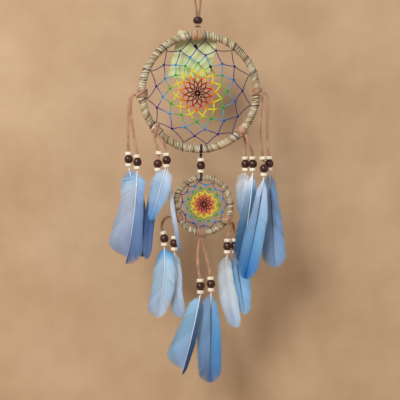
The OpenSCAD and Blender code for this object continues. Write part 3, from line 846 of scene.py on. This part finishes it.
def vane(shape, rng, shares, line, side, widths, length, dyes):
    """One side of a feather, barb by barb. Neighbouring barbs cling together in locks that
    part a little at the edge, and the barbs next to the quill are down."""
    way = tangents(line)
    count = int(length * (1 - BARE) / BARB_GAP)
    steps = np.linspace(0, 1, 7)
    left_in_lock = 0
    for i in range(count):
        if left_in_lock <= 0:
            left_in_lock = rng.randint(14, 48)
            turn, lift, reach = rng.uniform(-2.6, 2.6), rng.uniform(-0.2, 0.2), rng.uniform(0.96, 1.0)
            tone = rng.uniform(0.9, 1.06)
        left_in_lock -= 1
        parting = 0.75 if left_in_lock == 0 else 1.0
        u = BARE + (1 - BARE) * (i + 0.5) / count * 0.985
        root, tangent = (np.array([np.interp(u, shares, a[:, c]) for c in range(3)]) for a in (line, way))
        out = side * unit(np.array([-tangent[2], 0, tangent[0]]))
        downy = 1 - ease((u - BARE) / 0.07)
        angle = math.radians(np.interp(u, [0, 0.1, 0.3, 0.8, 1], [90, 68, 47, 36, 12]) + turn * (1.1 - u) + downy * rng.uniform(-14, 12))
        long = barb_length(u, angle, widths, length) * reach * rng.uniform(0.985, 1.0)
        long = long + downy * rng.uniform(0.0, 0.16) * (long + 4)
        lean = tangent * math.cos(angle) + out * math.sin(angle)
        curl = rng.uniform(-0.14, 0.14) * downy
        wave = 0.35 * math.sin(u * 17 + side)
        points = np.array([
            root + lean * long * t + tangent * (0.12 * t * t + curl * math.sin(5 * t)) * long
            + np.array([0, CUP * t * t + (wave + lift) * t + downy * rng.uniform(-0.5, 0.5) * t - 0.1, 0])
            for t in steps])
        half = BARB_GAP * np.array([0.7, 0.7, 0.7, 0.7, 0.68, 0.62, 0.4]) * parting
        tilt = np.array([0, 0.13, 0])
        verts = np.concatenate([points - half[:, None] * tangent - tilt, points + half[:, None] * tangent + tilt])
        n = len(steps)
        faces = [(k, k + 1, n + k + 1, n + k) for k in range(n - 1)]
        base = blend(dyes, u)
        shine = tone * rng.uniform(0.94, 1.04)
        # Painted shade: each barb is darker next to the shaft, as in the shaft's shadow, and it is a little darker
        # towards its tip.
        colours = np.array([base * (1 - 0.14 * t ** 4) * (0.86 + 0.14 * min(1, 5 * t)) * shine for t in steps])
        grain = np.array([(s * 0.5 + i * 1.3, long * t, i * 0.37) for s in (0, 1) for t in steps])
        shape.add(verts, faces, np.vstack([colours, colours]), grain)


# ---- strands ----


def strand(name, route, at, feathers, seed):
    body = f"{name}_strand"
    at = np.array(at, float)
    lowest = np.array(route[-1], float)
    line = np.vstack([bezier(route, 22), at + (0, 0, BEAD_SEAT), at - (0, 0, BEAD_SEAT - 0.1)])
    rng = random.Random(seed)
    lace(f"{name}_suede", line, 3.3, body, f"{name}_lace", rng.uniform(-25, 25), rng.uniform(-40, 40))
    bead(f"{name}_bead", body, at, f"{name}_beads", seed=seed)
    lean = math.degrees(math.atan2(lowest[0] - at[0], lowest[2] - at[2]))
    below = at - (0, 0, BEAD_SEAT + SPACER_H / 2)
    spacers(f"{name}_spacers", body, [(lowest, lean), (below, 0)], seed=seed)
    for i, spec in enumerate(feathers):
        nodes = [f"{name}_feather"] if i == 0 else ()
        feather(f"{name}_plume_{i + 1}", body, at, spec, nodes, seed * 10 + i)


# ---- link and tag ----


def cord_loop(shape, at, ring, tube, x, radius, dye):
    """A doubled turn of thread round a hoop where its tube runs along X."""
    for shift in (-0.75, 0.75):
        line = [(x + shift + 0.4 * math.sin(math.radians(phi)), (tube + 0.35 + radius) * math.cos(math.radians(phi)),
                 at[2] + ring + (tube + 0.35 + radius) * math.sin(math.radians(phi))) for phi in range(0, 360, 20)]
        shape.tube(line, radius, dye, 7, True, across=(1, 0, 0))


def link():
    ink = srgb(42, 22, 58)
    shape = Shape()
    cord_loop(shape, BIG_AT, -BIG_RING, BIG_TUBE, LINK_X, 0.55, ink)
    cord_loop(shape, SMALL_AT, SMALL_RING, SMALL_TUBE, LINK_X, 0.55, ink)
    upper = BIG_AT[2] - BIG_RING - BIG_TUBE - 0.9
    lower = SMALL_AT[2] + SMALL_RING + SMALL_TUBE + 0.9
    for phase in (0, math.pi):
        line = [(LINK_X + 0.5 * math.cos(phase + s * 9), 0.5 * math.sin(phase + s * 9), upper + (lower - upper) * s)
                for s in np.linspace(0, 1, 60)]
        shape.tube(line, 0.55, ink, 7)
    for z in (upper - 1.2, upper - 5.0, lower + 0.8):
        tied(shape, np.array([LINK_X, 0, z]), 1.9, ink)
    shape.make("link_cord", THREAD, "link", ["link_thread"])
    at = np.array([LINK_X, 0, LINK_BEAD_Z])
    bead("link_dark_bead", "link", at, "link_bead", seed=71)
    reach = (0, 0, BEAD_SEAT + SPACER_H / 2)
    spacers("link_pale_beads", "link", [(at + reach, 0), (at - reach, 0)], "link_spacers", 72)


def tag_point(across, up):
    """A place on the leaning tag, from its middle, with the card's slight curl."""
    c, s = math.cos(math.radians(TAG_LEAN)), math.sin(math.radians(TAG_LEAN))
    curl = 0.9 * (across / (TAG_W / 2)) ** 2 * (0.5 - up / TAG_L)
    return TAG_AT + np.array([across * c + up * s, curl, up * c - across * s])


def paper_tag():
    """A blank card with a punched hole, as a grid whose cells near the hole gather to its edge."""
    shape = Shape()
    nx, nz, hole_r = 29, 35, 1.7
    front, back = [], []
    for j in range(nz):
        for i in range(nx):
            x = (i / (nx - 1) - 0.5) * TAG_W
            z = (j / (nz - 1) - 0.5) * TAG_L
            away = math.hypot(x, z - TAG_HOLE)
            if 1e-6 < away < 4.5:
                push = hole_r + (away / 4.5) * (4.5 - hole_r)
                x, z = x * push / away, TAG_HOLE + (z - TAG_HOLE) * push / away
            point = tag_point(x, z)
            front.append(point - (0, 0.22, 0))
            back.append(point + (0, 0.22, 0))
    base = len(front)
    cells = []
    for j in range(nz - 1):
        for i in range(nx - 1):
            x = ((i + 0.5) / (nx - 1) - 0.5) * TAG_W
            z = ((j + 0.5) / (nz - 1) - 0.5) * TAG_L
            if math.hypot(x, z - TAG_HOLE) > 1.3:
                cells.append((j * nx + i, j * nx + i + 1, (j + 1) * nx + i + 1, (j + 1) * nx + i))
    edges = {}
    for cell in cells:
        for a, b in zip(cell, cell[1:] + cell[:1]):
            edges[(a, b)] = True
    rim = [(a, b) for a, b in edges if (b, a) not in edges]
    faces = cells + [tuple(base + v for v in reversed(cell)) for cell in cells]
    faces += [(b, a, base + a, base + b) for a, b in rim]
    shape.add(front + back, faces)
    shape.make("blank_tag", CARD, "tag", ["paper_tag"], smooth=False)


def tag_cord():
    ink = srgb(22, 18, 26)
    hole = tag_point(0, TAG_HOLE)
    back = TAG_AT[1] + 0.85
    shape = Shape()
    points = [(hole[0], TAG_AT[1] - 0.9, hole[2]), (hole[0], TAG_AT[1], hole[2] - 0.1),
              (hole[0], back, hole[2] + 0.4), (hole[0] * 0.7, back + 0.2, hole[2] + 6),
              (hole[0] * 0.2, back, TAG_TIE_Z - 7), (0.2, back - 0.6, TAG_TIE_Z - 3), (0, 3.4, TAG_TIE_Z)]
    ring = [(3.25 * math.sin(a), 3.25 * math.cos(a), TAG_TIE_Z + 0.1 * a)
            for a in np.linspace(0.4, 2 * math.pi - 0.3, 14)]
    line = np.vstack([smooth_line(points, 34), ring])
    shape.tube(line, 0.5, ink, 7)
    for tilt in (0.0, 0.9, 1.9):
        turn = [(hole[0] + 1.45 * math.cos(a), TAG_AT[1] - 1.15 + 0.35 * math.sin(a + tilt),
                 hole[2] + 1.45 * math.sin(a)) for a in np.linspace(0, 2 * math.pi, 12, endpoint=False)]
        shape.tube(turn, 1.0, ink, 7, True, across=(0, 1, 0), seed=tilt)
    shape.add(*knot_core((hole[0], TAG_AT[1] - 1.2, hole[2]), 1.3), ink)
    made = shape.make("tag_black_cord", THREAD, "tag", ["tag_string"])


def knot_core(at, radius):
    """A small closed lump that fills the middle of a knot."""
    verts, faces = [], []
    for i, lat in enumerate(np.linspace(-80, 80, 6)):
        for j in range(8):
            a, b = math.radians(45 * j), math.radians(lat)
            verts.append((at[0] + radius * math.cos(b) * math.cos(a), at[1] + 0.6 * radius * math.sin(b),
                          at[2] + radius * math.cos(b) * math.sin(a)))
    for i in range(5):
        faces += [(i * 8 + j, i * 8 + (j + 1) % 8, (i + 1) * 8 + (j + 1) % 8, (i + 1) * 8 + j) for j in range(8)]
    faces += [tuple(range(8))[::-1], tuple(range(40, 48))]
    return verts, faces


# ---- put it together ----

wound_hoop("big_hoop", BIG_AT, BIG_RING, BIG_TUBE, 2.1, 11)
wound_hoop("small_hoop", SMALL_AT, SMALL_RING, SMALL_TUBE, 1.9, 12)
for core in ("big_hoop_core", "small_hoop_core"):
    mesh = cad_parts[core].data
    mesh.materials.clear()
    mesh.materials.append(CANE)
web("big_hoop", BIG_AT, BIG_RING, BIG_TUBE, BIG_HITCHES, BIG_ROUNDS, np.array([-2.4, 0, -1.5]), 0.56, 1.0, 21)
web("small_hoop", SMALL_AT, SMALL_RING, SMALL_TUBE, SMALL_HITCHES, SMALL_ROUNDS, np.array([1.2, 0, 0.6]), 0.5, 1.2, 22)
lace_knots("big_hoop", BIG_AT, BIG_RING, BIG_TUBE, BIG_KNOTS, 31)
lace_knots("small_hoop", SMALL_AT, SMALL_RING, SMALL_TUBE, SMALL_KNOTS, 32)
hanging_knot()
hanging_loop()
bead("top_dark_bead", "top_bead", (0, 0, TOP_BEAD_Z), "hanging_bead", 5.85, 4.0, 3.0, 41)
link()
paper_tag()
tag_cord()
for number, (name, (route, at, feathers)) in enumerate(STRANDS.items()):
    strand(name, route, at, feathers, 100 + number)

# ---- the wall, the light and the view ----


def plate(name, corners, material):
    mesh = bpy.data.meshes.new(name)
    mesh.from_pydata(corners, [], [(0, 1, 2, 3)])
    mesh.materials.append(material)
    made = bpy.data.objects.new(name, mesh)
    bpy.context.scene.collection.objects.link(made)


def lamp(name, at, size, power):
    data = bpy.data.lights.new(name, "AREA")
    data.size = size
    data.energy = power
    made = bpy.data.objects.new(name, data)
    made.location = at
    aim = Vector((0, 0, -0.3)) - Vector(at)
    made.rotation_euler = aim.to_track_quat("-Z", "Y").to_euler()
    bpy.context.scene.collection.objects.link(made)


WALL = wall_material()
# The wall stands clear of the large hoop when that is twisted to its limit.
WALL_Y, WALL_LOW, WALL_HIGH, WALL_SIDE, FLOOR_DEEP = 0.104, -0.8, 0.6, 1.2, -1.6
plate("wall", [(-WALL_SIDE, WALL_Y, WALL_LOW), (WALL_SIDE, WALL_Y, WALL_LOW),
               (WALL_SIDE, WALL_Y, WALL_HIGH), (-WALL_SIDE, WALL_Y, WALL_HIGH)], WALL)
plate("floor", [(-WALL_SIDE, FLOOR_DEEP, WALL_LOW), (WALL_SIDE, FLOOR_DEEP, WALL_LOW),
                (WALL_SIDE, WALL_Y, WALL_LOW), (-WALL_SIDE, WALL_Y, WALL_LOW)], WALL)
lamp("key", (-0.9, -1.7, 0.75), 0.85, 38)
lamp("fill", (1.4, -1.6, -0.5), 1.5, 5)
world = bpy.data.worlds.new("world")
world.use_nodes = True
world.node_tree.nodes["Background"].inputs[0].default_value = (1, 1, 1, 1)
world.node_tree.nodes["Background"].inputs[1].default_value = 0.32
bpy.context.scene.world = world
bpy.context.scene.view_settings.view_transform = "Standard"
